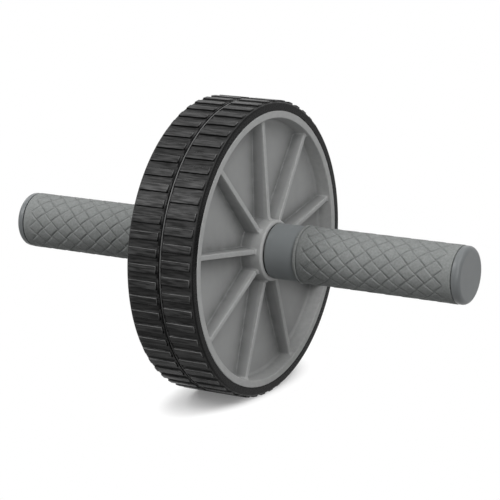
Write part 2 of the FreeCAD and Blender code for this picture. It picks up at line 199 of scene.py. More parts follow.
# Lamps: name, place, width and height in metres, power in watts
LAMPS = (
    ("overhead", (0.1, 0.1, 1.6), 1.8, 1.8, 9.6),
    ("right_high", (0.95, -0.55, 1.3), 1.0, 1.0, 10.2),
    ("right_low", (1.2, -0.85, 0.38), 0.9, 0.6, 7.0),
    ("left_high", (-1.2, 0.35, 1.0), 0.8, 0.8, 4.2),
    ("front_left", (-0.76, -0.95, 1.06), 0.36, 0.75, 12.6),
)

# Camera fitted to the photograph: sensor in millimetres, distance in metres, directions,
# and the place of the axle's middle in the picture, in pixels
PICTURE_SIZE = 500
FOCAL_PIXELS = 2036.5
SENSOR_WIDTH = 36
CAMERA_DISTANCE = 1.2692
CAMERA_AZIMUTH = math.radians(30.119)
CAMERA_ELEVATION = math.radians(12.795)
CAMERA_ROLL = math.radians(0.154)
CENTRE_ACROSS = 238.131
CENTRE_DOWN = 245.574


# Meshes

def grid_mesh(name, points):
    """Closed mesh over a grid of points that joins up with itself both ways."""
    rows, columns = points.shape[:2]
    corner = np.arange(rows * columns).reshape(rows, columns)
    beside = np.roll(corner, -1, axis=1)
    above = np.roll(corner, -1, axis=0)
    across = np.roll(beside, -1, axis=0)
    faces = np.stack([corner, beside, across, above], axis=-1).reshape(-1, 4)
    mesh = bpy.data.meshes.new(name)
    mesh.from_pydata(points.reshape(-1, 3).tolist(), [], faces.tolist())
    mesh.validate()
    return mesh


def polar_points(along, radius, angle):
    """Points at places along the axle, radii and angles about it, counted from straight up."""
    return np.stack([along, -radius * np.sin(angle), radius * np.cos(angle)], axis=-1)


def placement(side, turn):
    """From the right side's drawing about the axle to a side of the model, turned about the axle."""
    facing = Matrix.Rotation(0.0 if side == "right" else math.pi, 4, "Z")
    spin = Matrix.Rotation(turn, 4, "X")
    lift = Matrix.Translation((0, 0, AXLE_HEIGHT))
    return Matrix.Scale(MM, 4) @ lift @ spin @ facing


def new_piece(name, mesh, side, turn, crease):
    """Object from a mesh drawn about the axle, smooth but for edges sharper than the crease."""
    mesh.transform(placement(side, turn))
    mesh.shade_smooth()
    mesh.set_sharp_from_angle(angle=crease)
    piece = bpy.data.objects.new(name, mesh)
    bpy.context.scene.collection.objects.link(piece)
    weights = piece.modifiers.new("even_normals", "WEIGHTED_NORMAL")
    weights.keep_sharp = True
    return piece


def arc(count, start=0.0, end=90.0):
    """Sines and cosines of evenly spaced angles, in degrees."""
    angles = np.radians(np.linspace(start, end, count))
    return zip(np.sin(angles), np.cos(angles))


# Wheel

def rib_columns():
    """Stations across a rib from one gap to the middle of the next, as rows of:
    distance from the rib's middle line, share of the way to the gap's middle,
    shares of rib height, edge round and root round in the station's rise, and share of corner round."""
    half = [(0.0, 0.0, 1.0, 0.0, 0.0, 1.0), (RIB_HALF - RIB_EDGE_ROUND, 0.0, 1.0, 0.0, 0.0, 1.0)]
    for sine, cosine in list(arc(4))[1:]:
        off = RIB_HALF - RIB_EDGE_ROUND * (1 - sine)
        half.append((off, 0.0, 1.0, 1 - cosine, 0.0, 1.0))
    for sine, cosine in arc(6, 90.0, 0.0):
        off = RIB_HALF + RIB_DRAFT + RIB_ROOT_ROUND * (1 - sine)
        half.append((off, 0.0, 0.0, 0.0, 1 - cosine, 1 - cosine))
    foot = half[-1][0]
    for share in (0.03, 0.14, 0.28, 0.44, 0.62, 0.81):
        half.append((foot, share, 0.0, 0.0, 0.0, 0.0))
    mirrored = [(-off, *rest) for off, *rest in half[:0:-1]]
    middle = [(foot, 1.0, 0.0, 0.0, 0.0, 0.0)]
    return np.array(mirrored + half + middle)


def column_angles(columns, radius):
    """Angle of each column at each radius, from the rib's middle line."""
    off, share = columns[:, 0], columns[:, 1]
    foot = np.arcsin(off / np.maximum(radius, HUB_RADIUS))
    half_pitch = np.sign(off) * FULL_TURN / RIB_COUNT / 2
    return foot + share * (half_pitch - foot)


def rib_top(radius, hub_height, rim_height):
    """Height of a rib's top over the web at a radius, swept up where it meets the hub and the rim."""
    share = (radius - HUB_RADIUS) / (RIM_LIP_BORE - HUB_RADIUS)
    height = hub_height + share * (rim_height - hub_height)
    for depth in (HUB_RADIUS + RIB_END_ROUND - radius, radius - RIM_LIP_BORE + RIB_END_ROUND):
        depth = min(max(depth, 0.0), RIB_END_ROUND)
        height += RIB_END_ROUND - math.sqrt(RIB_END_ROUND ** 2 - depth ** 2)
    return height


def hub_outline(hub_height, hub_round):
    """Hub ring of one face, from its bore to its foot on the web, in rows as face_outline has them."""
    rows = []
    for sine, cosine in arc(3):
        height = hub_height - HUB_BORE_ROUND * (1 - sine)
        rows.append((HUB_RING_BORE + HUB_BORE_ROUND * (1 - cosine), height, 0.0))
    for sine, cosine in arc(7):
        height = hub_height - hub_round * (1 - cosine)
        rows.append((HUB_RADIUS - hub_round * (1 - sine), height, 0.0))
    for share in (0.12, 0.24, 0.38, 0.54, 0.76):
        height = hub_height - hub_round + share * (HUB_ROOT_ROUND - hub_height + hub_round)
        rows.append((HUB_RADIUS + share * HUB_DRAFT, height, 1.0))
    for sine, cosine in arc(8):
        radius = HUB_RADIUS + HUB_DRAFT + HUB_ROOT_ROUND * (1 - cosine)
        rows.append((radius, HUB_ROOT_ROUND * (1 - sine), cosine))
    return rows


def rim_outline(rim_height):
    """Rim of one face, from its foot on the web to its outer edge, in rows as face_outline has them."""
    rows = []
    for sine, cosine in arc(10):
        rows.append((RIM_ROOT_BORE - RIM_ROOT_ROUND * (1 - sine), RIM_ROOT_ROUND * (1 - cosine), -sine))
    for share in (0.2, 0.4, 0.6, 0.8):
        height = RIM_ROOT_ROUND + share * (rim_height - RIM_EDGE_ROUND - RIM_ROOT_ROUND)
        rows.append((RIM_ROOT_BORE + share * RIM_DRAFT, height, -1.0))
    for sine, cosine in arc(5):
        height = rim_height - RIM_EDGE_ROUND * (1 - sine)
        rows.append((RIM_LIP_BORE + RIM_EDGE_ROUND * (1 - cosine), height, 0.0))
    rows.append((RIM_RADIUS - RIM_CHAMFER, rim_height, 0.0))
    return rows


def face_outline(hub_height, rim_height, hub_round):
    """One face of the wheel from hub ring to rim, as rows of radius, height over the web and
    the way that a rib's corner round leans there: 1 away from the hub, -1 away from the rim."""
    hub = hub_outline(hub_height, hub_round)
    hub_foot = hub[-1][0]
    rim_foot = RIM_ROOT_BORE - RIM_ROOT_ROUND
    web = [(hub_foot + share * (rim_foot - hub_foot), 0.0, 0.0) for share in (0.01, 0.2, 0.4, 0.6, 0.8, 0.99)]
    return hub + web + rim_outline(rim_height)


def wheel_face(columns, outline, rib_hub, rib_rim):
    """Radii and heights over the web of one face's grid, with the ribs raised on it."""
    top, edge, root, corner = columns[:, 2:].T
    radii, heights = [], []
    for radius, base, lean in outline:
        rib = max(rib_top(radius, rib_hub, rib_rim) - base, 0.0)
        fade = min(1.0, rib / (RIB_EDGE_ROUND + RIB_ROOT_ROUND))
        rounds = root * RIB_ROOT_ROUND - edge * RIB_EDGE_ROUND
        heights.append(base + top * rib + fade * rounds)
        radii.append(radius + lean * corner * RIB_ROOT_ROUND * fade)
    return np.array(radii), np.array(heights)


def plain_rows(places, columns):
    """Grid rows of a turned stretch, from (along, radius) places."""
    along, radius = np.array(places).T
    flat = np.ones(len(columns))
    return np.outer(along, flat), np.outer(radius, flat)


def wheel_grid():
    """Places along the axle, radii and angles of one sector of the wheel: a rib and half a gap each side."""
    columns = rib_columns()
    sleeve = FLANGE_SEAT + SLEEVE_WALL
    tongue_back = (WHEEL_BACK + RIM_FACE - TONGUE_WIDTH) / 2
    tongue_front = tongue_back + TONGUE_WIDTH
    front_height = RIM_FACE - WEB_FRONT
    back_height = WEB_BACK - WHEEL_BACK
    hub_height = HUB_FACE - WEB_FRONT
    front = face_outline(hub_height, front_height, HUB_EDGE_ROUND)
    back = face_outline(back_height, back_height, HUB_BORE_ROUND)
    front_radii, front_heights = wheel_face(
        columns, front, hub_height - RIB_HUB_DROP, front_height - RIB_RIM_DROP)
    back_radii, back_heights = wheel_face(
        columns, back, back_height - RIB_BACK_DROP, back_height - RIB_BACK_DROP)
    hub_front = plain_rows([
        (HUB_FACE - FLANGE_THICKNESS, HUB_BORE), (HUB_FACE - FLANGE_THICKNESS, FLANGE_SEAT),
        (HUB_FACE, FLANGE_SEAT), (HUB_FACE, sleeve), (WEB_FRONT, sleeve), (WEB_FRONT, HUB_RING_BORE),
    ], columns)
    rim = plain_rows([
        (RIM_FACE - RIM_CHAMFER, RIM_RADIUS), (tongue_front, RIM_RADIUS), (tongue_front, TONGUE_RADIUS),
        (tongue_back, TONGUE_RADIUS), (tongue_back, RIM_RADIUS), (WHEEL_BACK + RIM_CHAMFER, RIM_RADIUS),
    ], columns)
    hub_back = plain_rows([
        (WEB_BACK, HUB_RING_BORE), (WEB_BACK, sleeve), (WHEEL_BACK, sleeve), (WHEEL_BACK, FLANGE_SEAT),
        (FLANGE_BACK + FLANGE_THICKNESS, FLANGE_SEAT), (FLANGE_BACK + FLANGE_THICKNESS, HUB_BORE),
    ], columns)
    back_along = (WEB_BACK - back_heights)[::-1]
    along = np.vstack([hub_front[0], WEB_FRONT + front_heights, rim[0], back_along, hub_back[0]])[::-1]
    radius = np.vstack([hub_front[1], front_radii, rim[1], back_radii[::-1], hub_back[1]])[::-1]
    return along, radius, column_angles(columns, radius)


def painted_corner_shade(along, radius, angle):
    """Share of painted shade at each point of one sector: most in the corners that ribs, hub and rim
    make with the web, less farther from them and up their walls."""
    from_rib = radius * np.abs(np.sin(angle)) - RIB_HALF - RIB_DRAFT
    walls = ((from_rib, 1.0), (radius - HUB_RADIUS, 1.0), (RIM_ROOT_BORE - radius, PAINTED_SHADE_AT_RIM))
    unshaded = np.ones_like(radius)
    for distance, share in walls:
        unshaded = unshaded * (1 - share * np.exp(-np.maximum(distance, 0.0) / PAINTED_SHADE_REACH))
    height = np.maximum(along - WEB_FRONT, WEB_BACK - along)
    # The painted shade reaches higher up the hub's wall, where the ribs shade it
    on_hub = radius < HUB_RADIUS + HUB_DRAFT + HUB_ROOT_ROUND
    height_limit = np.where(on_hub, PAINTED_SHADE_HEIGHT_AT_HUB, PAINTED_SHADE_HEIGHT)
    return (1 - unshaded) * np.clip(1 - height / height_limit, 0.0, 1.0)


def make_wheel(side):
    """Moulded wheel with hub ring, ribs, web and rim as one closed skin."""
    along, radius, angle = wheel_grid()
    turns = FULL_TURN / RIB_COUNT * np.arange(RIB_COUNT)
    sectors = [polar_points(along, radius, angle + turn) for turn in turns]
    mesh = grid_mesh(f"wheel_{side}_skin", np.concatenate(sectors, axis=1))
    # Painted shade in the pocket corners, stored at each point for the wheel's material
    painted_pocket_shade = mesh.attributes.new("painted_pocket_shade", "FLOAT", "POINT")
    painted_pocket_shade.data.foreach_set("value", np.tile(painted_corner_shade(along, radius, angle), RIB_COUNT).ravel())
    piece = new_piece(f"wheel_{side}_skin", mesh, side, RIB_TURN[side], WHEEL_CREASE)
    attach(piece, f"{side}_wheel")
    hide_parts(f"wheel_{side}")
    return piece


# Tyre

def bar_stations():
    """Angles over one tread pitch from a bar's middle, with the share of bar height at each."""
    pitch = FULL_TURN / BAR_COUNT
    edge = pitch * BAR_SHARE / 2
    rise = [(edge + off / TYRE_RADIUS, share) for off, share in BAR_SIDE_WALL]
    fall = [(pitch - angle, share) for angle, share in reversed(rise)]
    return np.array([(0.0, 1.0)] + rise + [(pitch / 2, 0.0)] + fall)


def rounded_edge(edge_round, top):
    """Rounded corner of the tyre from its wall up to a top radius, as rows of
    inset from the wall, radius and share of bar height."""
    return [(edge_round * (1 - cosine), top - edge_round * (1 - sine), 0.0) for sine, cosine in arc(6)]


def seam_edge():
    """Edge beside the other wheel: a low strip along the tread floor."""
    strip = TREAD_FLOOR + STRIP_HEIGHT
    rows = rounded_edge(SEAM_ROUND, strip)
    rows.append((STRIP_WIDTH, strip, 0.0))
    rows.append((STRIP_WIDTH + STRIP_BEND, strip - STRIP_BEND_DROP, 0.0))
    rows.append((STRIP_WIDTH + STRIP_FOOT, TREAD_FLOOR, 0.0))
    return rows


def bar_end():
    """End wall of a bar, from the tread floor to its full height."""
    return [(BAR_INSET + off, TREAD_FLOOR, share) for off, share in BAR_END_WALL]


def tyre_outline():
    """Closed section of the tyre as (along, radius, share of bar height)."""
    seam = seam_edge() + bar_end()
    shoulder = rounded_edge(SHOULDER_ROUND, TREAD_FLOOR) + bar_end()
    wall_foot = TYRE_BORE + BEAD_CHAMFER
    groove = TONGUE_RADIUS + SEAT_FIT
    half_groove = TONGUE_WIDTH / 2 + SEAT_FIT
    middle = (WHEEL_BACK + RIM_FACE) / 2
    rows = [(WHEEL_BACK + BEAD_CHAMFER, TYRE_BORE, 0.0), (WHEEL_BACK, wall_foot, 0.0)]
    rows += [(WHEEL_BACK + inset, radius, share) for inset, radius, share in seam]
    rows += [(middle, TREAD_FLOOR, 1.0)]
    rows += [(RIM_FACE - inset, radius, share) for inset, radius, share in reversed(shoulder)]
    rows += [(RIM_FACE, wall_foot, 0.0), (RIM_FACE - BEAD_CHAMFER, TYRE_BORE, 0.0)]
    rows += [(middle + half_groove, TYRE_BORE, 0.0), (middle + half_groove, groove, 0.0)]
    rows += [(middle - half_groove, groove, 0.0), (middle - half_groove, TYRE_BORE, 0.0)]
    return np.array(rows)


def make_tyre(side):
    """Rubber tyre with a row of raised bars between a seam strip and a rounded shoulder."""
    along, radius, lift = tyre_outline().T
    stations = bar_stations()
    turns = FULL_TURN / BAR_COUNT * np.arange(BAR_COUNT)
    angle = (turns[:, None] + stations[:, 0]).ravel()
    height = np.tile(stations[:, 1], BAR_COUNT)
    bars = radius[:, None] + lift[:, None] * height * BAR_HEIGHT
    points = polar_points(np.broadcast_to(along[:, None], bars.shape), bars, angle)
    mesh = grid_mesh(f"tyre_{side}_skin", points)
    piece = new_piece(f"tyre_{side}_skin", mesh, side, TREAD_TURN[side], TYRE_CREASE)
    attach(piece, f"{side}_wheel")
    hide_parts(f"tyre_{side}")
    return piece


# Grip

def groove_depth(place):
    """Share of a groove's depth at a place counted in tile widths, with a groove at each whole number."""
    off = np.abs(place - np.round(place)) * TILE_SPACING / TILE_GROOVE_HALF
    return np.clip(1 - off, 0.0, 1.0) ** TILE_GROOVE_POWER


def grip_relief(along, angle):
    """Depth of the woven relief cut into the grip: crossing grooves, and crowned tiles with dipped ends."""
    hair = 1e-6
    first = along / TILE_LENGTH + TILES_AROUND * angle / FULL_TURN
    second = along / TILE_LENGTH - TILES_AROUND * angle / FULL_TURN + TILE_SHIFT
    grooves = np.maximum(groove_depth(first), groove_depth(second))
    odd = (np.floor(first + hair) + np.floor(second + hair)) % 2 > 0.5
    across = np.where(odd, first, second)
    crown = (1 + np.cos(FULL_TURN * across)) / 2
    along_tile = np.where(odd, second, first)
    from_end = np.abs(along_tile - np.round(along_tile)) / TILE_DIP_SHARE
    dip = (1 + np.cos(np.pi * np.minimum(from_end, 1.0))) / 2
    return np.maximum(TILE_GROOVE_DEPTH * grooves, TILE_CROWN * crown) + TILE_DIP * dip * (1 - grooves)


def grip_inner_end():
    """Section of the grip before its relief, as (along, radius): the bore's end, the ring and the groove."""
    ring_end = GRIP_START + GRIP_RING_WIDTH
    groove_end = ring_end + GRIP_GROOVE_WIDTH
    groove = GRIP_RADIUS - GRIP_GROOVE_DEPTH
    rows = [(GRIP_START, GRIP_BORE)]
    for sine, cosine in arc(5):
        radius = GRIP_RING_RADIUS - GRIP_EDGE_ROUND * (1 - sine)
        rows.append((GRIP_START + GRIP_EDGE_ROUND * (1 - cosine), radius))
    for sine, cosine in arc(4):
        radius = GRIP_RING_RADIUS - GRIP_RING_BACK_ROUND * (1 - cosine)
        rows.append((ring_end - GRIP_RING_BACK_ROUND * (1 - sine), radius))
    rows.append((ring_end + GRIP_GROOVE_SLOPE, groove))
    rows.append((groove_end - GRIP_GROOVE_SLOPE, groove))
    for sine, cosine in arc(4):
        radius = GRIP_RADIUS - GRIP_GROOVE_ROUND * (1 - sine)
        rows.append((groove_end + GRIP_GROOVE_ROUND * (1 - cosine), radius))
    return rows


def grip_outer_end():
    """Section of the grip after its relief, as (along, radius): a rounded edge and the bore's end."""
    end = GRIP_END + GRIP_END_SWELL
    rows = []
    for sine, cosine in arc(5):
        rows.append((end - GRIP_EDGE_ROUND * (1 - sine), GRIP_RADIUS - GRIP_EDGE_ROUND * (1 - cosine)))
    rows.append((end, GRIP_BORE))
    return rows


def make_grip(side):
    """Rubber sleeve with a ring and groove at its inner end and a woven relief over its length."""
    before = grip_inner_end()
    after = grip_outer_end()
    start = before[-1][0] + RELIEF_START
    end = after[0][0] - RELIEF_END
    step = TILE_LENGTH / TILE_STEPS
    first = math.ceil(start / step)
    last = math.floor(end / step)
    relief_rows = [(step * number, GRIP_RADIUS) for number in range(first, last + 1)]
    along, radius = np.array(before + relief_rows + after).T
    angle = FULL_TURN * np.arange(TILES_AROUND * TILE_STEPS) / (TILES_AROUND * TILE_STEPS)
    fade = np.clip(np.minimum(along - start, end - along) / RELIEF_FADE, 0.0, 1.0)
    depth = fade[:, None] * grip_relief(along[:, None], angle[None, :])
    places = np.broadcast_to(along[:, None], depth.shape)
    mesh = grid_mesh(f"grip_{side}_skin", polar_points(places, radius[:, None] - depth, angle))
    piece = new_piece(f"grip_{side}_skin", mesh, side, 0.0, GRIP_CREASE)
    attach(piece, "axle_and_handles")
    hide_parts(f"grip_{side}")
    return piece


# Material helpers

def grey(shade):
    """Neutral colour of a shade."""
    return (shade, shade, shade)


def add_node(tree, kind, inputs=None, **settings):
    """New shader node with settings; each named input takes a value or another node's output."""
    made = tree.nodes.new(kind)
    for key, value in settings.items():
        setattr(made, key, value)
    for key, value in (inputs or {}).items():
        if isinstance(value, bpy.types.NodeSocket):
            tree.links.new(value, made.inputs[key])
        else:
            made.inputs[key].default_value = value
    return made


def math_node(tree, operation, *values):
    """Output of a math node over values or other outputs."""
    inputs = dict(enumerate(values))
    return add_node(tree, "ShaderNodeMath", inputs, operation=operation).outputs[0]


def plus(tree, first, second):
    """Sum of two values or outputs."""
    return math_node(tree, "ADD", first, second)


def minus(tree, first, second):
    """First value or output less the second."""
    return math_node(tree, "SUBTRACT", first, second)


def times(tree, first, second):
    """Product of two values or outputs."""
    return math_node(tree, "MULTIPLY", first, second)


def blend(tree, share, first, second):
    """Number between two numbers, each a value or an output."""
    return add_node(tree, "ShaderNodeMix", {0: share, 2: first, 3: second}).outputs[0]


def noise(tree, place, size, detail=3.0, stretch=None):
    """Noise between 0 and 1 with features of a size in millimetres, stretched along each axis."""
    if stretch:
        place = add_node(tree, "ShaderNodeMapping", {"Vector": place, "Scale": stretch}).outputs[0]
    inputs = {"Vector": place, "Scale": 1 / (size * MM), "Detail": detail, "Roughness": 0.55}
    return add_node(tree, "ShaderNodeTexNoise", inputs).outputs["Fac"]


def remap(tree, value, from_low, from_high, to_low, to_high):
    """Value moved smoothly from one range to another, held at both ends."""
    inputs = {"Value": value, "From Min": from_low, "From Max": from_high}
    inputs.update({"To Min": to_low, "To Max": to_high})
    made = add_node(tree, "ShaderNodeMapRange", inputs, interpolation_type="SMOOTHSTEP")
    return made.outputs["Result"]


def band(tree, value, rise, fall, top=1.0):
    """Rises from 0 to a top over one pair of places and falls back to 0 over another."""
    return times(tree, remap(tree, value, *rise, 0.0, top), remap(tree, value, *fall, 1.0, 0.0))


def mix_colours(tree, share, first, second):
    """Colour between two colours, each a plain colour or an output."""
    made = add_node(tree, "ShaderNodeMix", {"Factor": share}, data_type="RGBA")
    for socket, colour in ((made.inputs[6], first), (made.inputs[7], second)):
        if isinstance(colour, bpy.types.NodeSocket):
            tree.links.new(colour, socket)
        else:
            socket.default_value = (*colour, 1.0)
    return made.outputs[2]


def bump(tree, height, depth, strength=1.0, under=None):
    """Normal from a height, of which 1 stands for a depth in millimetres."""
    inputs = {"Height": height, "Strength": strength, "Distance": depth * MM}
    if under:
        inputs["Normal"] = under
    return add_node(tree, "ShaderNodeBump", inputs).outputs["Normal"]


def new_material(name):
    """Material with its tree, its main shader and the model's own coordinates."""
    material = bpy.data.materials.new(name)
    material.use_nodes = True
    tree = material.node_tree
    shader = tree.nodes["Principled BSDF"]
    place = add_node(tree, "ShaderNodeTexCoord").outputs["Object"]
    return material, tree, shader, place


def finish_shader(tree, shader, colour, roughness, normal):
    """Joins colour, roughness and normal to a shader."""
    tree.links.new(colour, shader.inputs["Base Color"])
    tree.links.new(roughness, shader.inputs["Roughness"])
    tree.links.new(normal, shader.inputs["Normal"])


def axle_places(tree, place):
    """Place along the axle, radius and angle about it as each side is drawn, in millimetres and turns."""
    split = add_node(tree, "ShaderNodeSeparateXYZ", {"Vector": place})
    level = minus(tree, split.outputs["Z"], AXLE_HEIGHT * MM)
    square = plus(tree, times(tree, level, level), times(tree, split.outputs["Y"], split.outputs["Y"]))
    radius = math_node(tree, "DIVIDE", math_node(tree, "SQRT", square), MM)
    along = math_node(tree, "DIVIDE", math_node(tree, "ABSOLUTE", split.outputs["X"]), MM)
    facing = times(tree, math_node(tree, "SIGN", split.outputs["X"]), -1.0)
    sideways = times(tree, split.outputs["Y"], facing)
    turn = math_node(tree, "DIVIDE", math_node(tree, "ARCTAN2", sideways, level), FULL_TURN)
    return along, radius, turn


# Wheel material

def wheel_plastic():
    """Moulded grey plastic: cloudy, finely grained, paler on rim and rib tops from rubbed wear and painted
    light, with painted shade in the corners.
    """
    material, tree, shader, place = new_material("wheel_plastic")
    along, radius, _ = axle_places(tree, place)
    clouds = noise(tree, place, 22.0)
    colour = mix_colours(tree, clouds, (0.316, 0.320, 0.319), (0.354, 0.358, 0.356))
    patchy = remap(tree, noise(tree, place, 3.0), 0.3, 0.7, 0.5, 1.0)
    # Paler rib tops, rim wall and lip: partly rubbed wear, partly painted light on the faces that stand out
    # of the shade
    rib_tops = remap(tree, along, RUB_AND_LIGHT_START, RUB_AND_LIGHT_FULL, 0.0, 0.65)
    rim_wall = remap(tree, radius, RIM_ROOT_BORE - RIM_RUB_AND_LIGHT_FADE, RIM_ROOT_BORE, 0.0, 0.7)
    rubbed_and_lit = times(tree, math_node(tree, "MAXIMUM", rib_tops, rim_wall), patchy)
    colour = mix_colours(tree, rubbed_and_lit, colour, (0.45, 0.455, 0.45))
    painted_pocket_shade = add_node(tree, "ShaderNodeAttribute", attribute_name="painted_pocket_shade").outputs["Fac"]
    shade_patches = remap(tree, noise(tree, place, 7.0), 0.3, 0.7, 0.75, 0.95)
    # Painted shade: corners of the pockets and the hub's wall darkened, in patches
    colour = mix_colours(tree, times(tree, painted_pocket_shade, shade_patches), colour, (0.118, 0.121, 0.120))
    grain = noise(tree, place, 0.35, 2.0)
    roughness = remap(tree, noise(tree, place, 6.0), 0.3, 0.7, 0.46, 0.58)
    finish_shader(tree, shader, colour, roughness, bump(tree, grain, 0.02, 0.5))
    shader.inputs["Specular IOR Level"].default_value = 0.25
    return material


# Tyre material

def bar_place(tree, place):
    """Three places on a tyre: across its bar, 0 in the bar's middle and -0.5 and 0.5 in the gaps, growing
    from top to front; 1 on the right tyre and 0 on the left; and the height over the axle in metres."""
    split = add_node(tree, "ShaderNodeSeparateXYZ", {"Vector": place})
    level = minus(tree, split.outputs["Z"], AXLE_HEIGHT * MM)
    forward = times(tree, split.outputs["Y"], -1.0)
    angle = math_node(tree, "ARCTAN2", forward, level)
    on_right = math_node(tree, "GREATER_THAN", split.outputs["X"], 0.0)
    start = blend(tree, on_right, TREAD_TURN["left"], TREAD_TURN["right"])
    pitches = times(tree, minus(tree, angle, start), BAR_COUNT / FULL_TURN)
    across_bar = minus(tree, pitches, math_node(tree, "ROUND", pitches))
    return across_bar, on_right, level


def tyre_black(tree, over_floor, from_shoulder, streaks, dust):
    """Black of a tyre: streaked floor and bars on the tread, deeper on the shoulder and the sidewall."""
    tread = remap(tree, from_shoulder, SHOULDER_ROUND - 0.3, SHOULDER_ROUND, 0.0, 1.0)
    top = remap(tree, over_floor, 0.5, 1.1, 0.0, 1.0)
    side = mix_colours(tree, dust, grey(0.006), grey(0.011))
    floor = mix_colours(tree, streaks, grey(0.012), grey(0.044))
    bar = mix_colours(tree, streaks, grey(0.016), grey(0.064))
    return mix_colours(tree, tread, side, mix_colours(tree, top, floor, bar))


def paint_bar_light_and_shade(tree, colour, over_floor, across_bar, patchy):
    """Colour with painted shade on the bars' lower walls and a painted highlight on their upper edges."""
    upper = remap(tree, across_bar, -0.12, 0.2, 1.0, 0.0)
    lower = minus(tree, 1.0, upper)
    wall = band(tree, over_floor, (0.05, 0.2), (0.95, 1.1))
    # Painted shade: the bars' lower walls darkened
    colour = mix_colours(tree, times(tree, wall, lower), colour, grey(0.003))
    # Painted highlight: the bars' upper edges paled, in patches
    edge = band(tree, over_floor, (0.6, 0.9), (1.1, 1.19))
    painted_bar_highlight = times(tree, times(tree, edge, patchy), upper)
    return mix_colours(tree, painted_bar_highlight, colour, grey(0.19))


def paint_seam_highlight(tree, colour, over_floor, from_seam, on_right, level):
    """Colour with a painted highlight on the right tyre's seam edge, weaker in its lower half."""
    near_seam = remap(tree, from_seam, 0.6, 0.9, 1.0, 0.0)
    edge = times(tree, near_seam, remap(tree, over_floor, 0.1, 0.3, 0.0, 1.0))
    # The painted highlight is on the right tyre only and fades below the axle's height
    share = times(tree, on_right, remap(tree, level, -0.04, 0.01, 0.25, 1.0))
    return mix_colours(tree, times(tree, edge, share), colour, grey(0.13))


def tyre_rubber():
    """Black rubber: streaked tread, painted shade on the bars' lower walls and painted highlights on their
    upper edges and the right seam edge, darker shoulders with a painted highlight line along their round,
    darker walls.
    """
    material, tree, shader, place = new_material("tyre_rubber")
    along, radius, _ = axle_places(tree, place)
    across_bar, on_right, level = bar_place(tree, place)
    over_floor = minus(tree, radius, TREAD_FLOOR)
    from_seam = minus(tree, along, WHEEL_BACK)
    from_shoulder = minus(tree, RIM_FACE, along)
    fibres = noise(tree, place, 1.1, 4.0, stretch=(0.1, 1.0, 1.0))
    streaks = remap(tree, fibres, 0.34, 0.66, 0.0, 1.0)
    dust = noise(tree, place, 5.0)
    patchy = remap(tree, dust, 0.3, 0.7, 0.4, 1.0)
    colour = tyre_black(tree, over_floor, from_shoulder, streaks, dust)
    colour = paint_bar_light_and_shade(tree, colour, over_floor, across_bar, patchy)
    colour = paint_seam_highlight(tree, colour, over_floor, from_seam, on_right, level)
    # Painted highlight: a pale line along the shoulder's round, in patches
    shoulder = band(tree, from_shoulder, (0.5, 0.8), (0.9, 1.3), 0.8)
    colour = mix_colours(tree, times(tree, shoulder, patchy), colour, grey(0.06))
    roughness = remap(tree, streaks, 0.0, 1.0, 0.36, 0.24)
    fine = bump(tree, noise(tree, place, 0.5, 3.0), 0.015, 0.5)
    finish_shader(tree, shader, colour, roughness, bump(tree, streaks, 0.05, 0.6, fine))
    shader.inputs["Specular IOR Level"].default_value = 0.06
    return material


# Grip material

def groove_shade(tree, place):
    """1 along the middle of a groove of the grip's relief, 0 from its edge on."""
    nearest = math_node(tree, "ROUND", place)
    off = math_node(tree, "ABSOLUTE", minus(tree, place, nearest))
    return remap(tree, off, 0.0, TILE_GROOVE_HALF / TILE_SPACING, 1.0, 0.0)


def weave(tree, along, turn):
    """Grooves, dipped tile ends and strands of the grip's relief, where the mesh has its tiles."""
    steps = math_node(tree, "DIVIDE", along, TILE_LENGTH)
    around = times(tree, turn, float(TILES_AROUND))
    first = plus(tree, steps, around)
    second = plus(tree, minus(tree, steps, around), TILE_SHIFT)
    grooves = math_node(tree, "MAXIMUM", groove_shade(tree, first), groove_shade(tree, second))
    tiles = plus(tree, math_node(tree, "FLOOR", first), math_node(tree, "FLOOR", second))
    odd = math_node(tree, "FLOORED_MODULO", tiles, 2.0)
    lengthwise = blend(tree, odd, first, second)
    crosswise = blend(tree, odd, second, first)
    strands = math_node(tree, "SINE", times(tree, crosswise, FULL_TURN * TILE_STRANDS))
    from_middle = math_node(tree, "ABSOLUTE", minus(tree, math_node(tree, "FRACT", lengthwise), 0.5))
    dips = remap(tree, from_middle, 0.5 - TILE_DIP_SHARE, 0.5, 0.0, 1.0)
    return grooves, dips, strands


def relief_cover(tree, along):
    """1 over the grip's relief, 0 on its plain ends."""
    start = GRIP_START + GRIP_RING_WIDTH + GRIP_GROOVE_WIDTH + RELIEF_START
    end = GRIP_END - RELIEF_END
    return band(tree, along, (start, start + RELIEF_FADE), (end - RELIEF_FADE, end))


